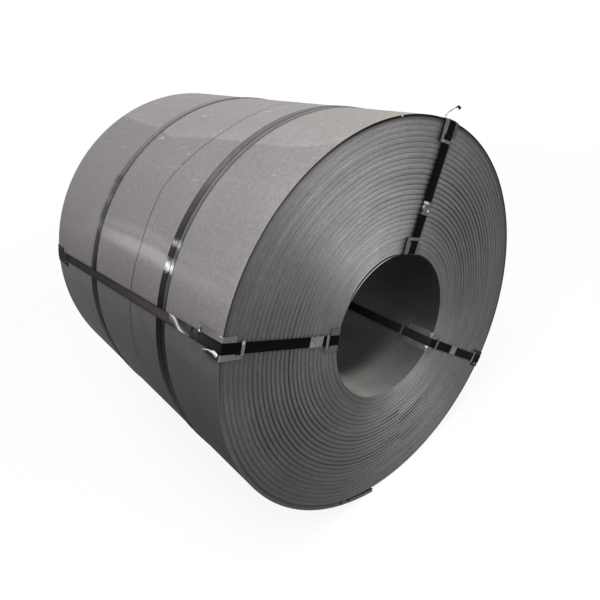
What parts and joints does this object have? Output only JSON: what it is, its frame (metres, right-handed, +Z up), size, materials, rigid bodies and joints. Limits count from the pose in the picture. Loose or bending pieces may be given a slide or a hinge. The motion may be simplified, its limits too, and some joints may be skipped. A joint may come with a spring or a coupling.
{
  "type": "steel coil",
  "caption": "Banded coil of thick hot-rolled steel strip lying on its side, with eye straps, belly straps, crimped seals and edge protectors.",
  "frame": {"origin": "middle of the coil's footprint, on the floor that its belly straps rest on", "axes": "+Y along the coil's axis from the near end to the far one, +Z up, +X to the right as the near end is looked at"},
  "size_m": [1.3492, 1.2816, 1.3493],
  "materials": {
    "coil_steel": "hot-rolled, dull, with a dark scale",
    "strap_steel": "black waxed strapping, glossy",
    "strap_steel_light": "grey waxed strapping, satin",
    "protector_steel": "plain sheet, satin, bright at its bends",
    "seal_steel": "zinc-grey sheet, satin"
  },
  "bodies": {
    "root": {"coil": "coil_steel", "belly_strap_front_over": "strap_steel", "belly_seal_front_over": "seal_steel", "belly_strap_front_under": "strap_steel_light", "belly_seal_front_under": "seal_steel", "belly_strap_back_over": "strap_steel", "belly_seal_back_over": "seal_steel", "belly_strap_back_under": "strap_steel", "belly_seal_back_under": "seal_steel", "eye_strap_left": "strap_steel", "strap_seal_left": "seal_steel", "edge_protector_left_near_rim": "protector_steel", "edge_protector_left_near_bore": "protector_steel", "edge_protector_left_far_rim": "protector_steel", "edge_protector_left_far_bore": "protector_steel", "eye_strap_top": "strap_steel", "strap_seal_top": "seal_steel", "edge_protector_top_near_rim": "protector_steel", "edge_protector_top_near_bore": "protector_steel", "edge_protector_top_far_rim": "protector_steel", "edge_protector_top_far_bore": "protector_steel", "eye_strap_right": "strap_steel", "strap_seal_right": "seal_steel", "edge_protector_right_near_rim": "protector_steel", "edge_protector_right_near_bore": "protector_steel", "edge_protector_right_far_rim": "protector_steel", "edge_protector_right_far_bore": "protector_steel"}
  },
  "joints": []
}
